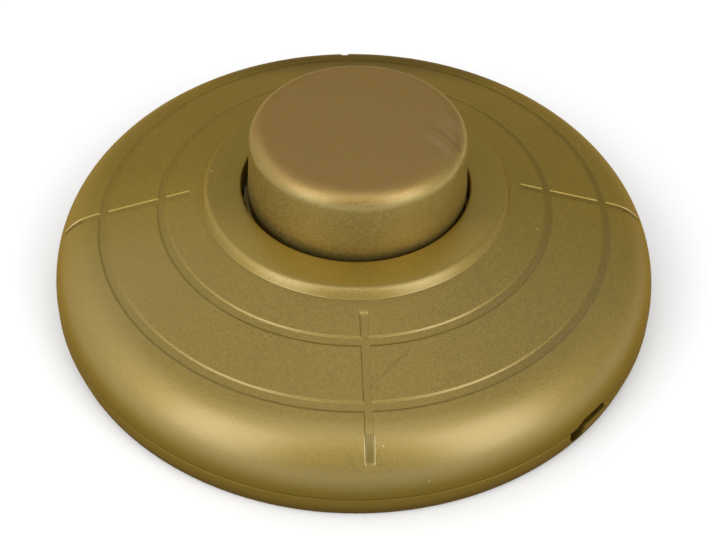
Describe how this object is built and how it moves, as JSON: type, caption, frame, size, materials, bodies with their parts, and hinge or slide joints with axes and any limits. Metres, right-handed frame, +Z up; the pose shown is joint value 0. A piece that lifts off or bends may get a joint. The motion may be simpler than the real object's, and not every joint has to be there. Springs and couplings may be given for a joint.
{
  "type": "foot switch",
  "caption": "Round inline foot switch for a lamp cord: a low domed housing in two halves with grooved cover, a big round press button and a ratchet switch inside.",
  "frame": {"origin": "on the floor under the centre of the round housing", "axes": "+Z up along the button's axis, +X along the cord's line out of one of the two cord inlets"},
  "size_m": [0.0698, 0.07, 0.023],
  "materials": {
    "base_gold": "metallised dark gold, fine grain",
    "cover_gold": "metallised gold, fine grain",
    "button_gold": "metallised gold, fine grain",
    "cage_black": "moulded, satin",
    "rotor_ivory": "moulded, satin",
    "clamp_ivory": "moulded, satin",
    "contact_brass": "stamped sheet, bright",
    "spring_steel": "drawn wire, bright",
    "zinc_steel": "zinc plated",
    "foot_rubber": "matt"
  },
  "bodies": {
    "housing": {"base": "base_gold", "cage_screw_1": "zinc_steel", "cage_screw_2": "zinc_steel", "clamp_plate_line_in": "zinc_steel", "clamp_plate_line_out": "zinc_steel", "clamp_plate_neutral_in": "zinc_steel", "clamp_plate_neutral_out": "zinc_steel", "cord_clamp_in": "clamp_ivory", "cord_clamp_out": "clamp_ivory", "cord_clamp_screw_1": "zinc_steel", "cord_clamp_screw_2": "zinc_steel", "cord_clamp_screw_3": "zinc_steel", "cord_clamp_screw_4": "zinc_steel", "cover": "cover_gold", "cover_screw_1": "zinc_steel", "cover_screw_2": "zinc_steel", "cover_screw_3": "zinc_steel", "foot_1": "foot_rubber", "foot_2": "foot_rubber", "foot_3": "foot_rubber", "line_contact_in": "contact_brass", "line_contact_out": "contact_brass", "mechanism_cage": "cage_black", "neutral_link": "contact_brass", "return_spring": "spring_steel", "terminal_screw_line_in": "zinc_steel", "terminal_screw_line_out": "zinc_steel", "terminal_screw_neutral_in": "zinc_steel", "terminal_screw_neutral_out": "zinc_steel"},
    "button": {"button": "button_gold"},
    "selector": {"selector_rotor": "rotor_ivory", "contact_cross": "contact_brass"}
  },
  "joints": [
    {"name": "button_press", "type": "slide", "parent": "housing", "child": "button", "axis": [0, 0, -1], "range_m": [0, 0.004], "stiffness_N_per_m": 900, "springref_m": -0.004, "deforming": ["return_spring"]},
    {"name": "selector_turn", "type": "hinge", "parent": "housing", "child": "selector", "pos_m": [0, 0, 0], "axis": [0, 0, 1], "range_deg": [0, 45.2]}
  ],
  "couplings": [
    {"joint": "selector_turn", "follows": "button_press", "rad_per_m": 196.35}
  ]
}
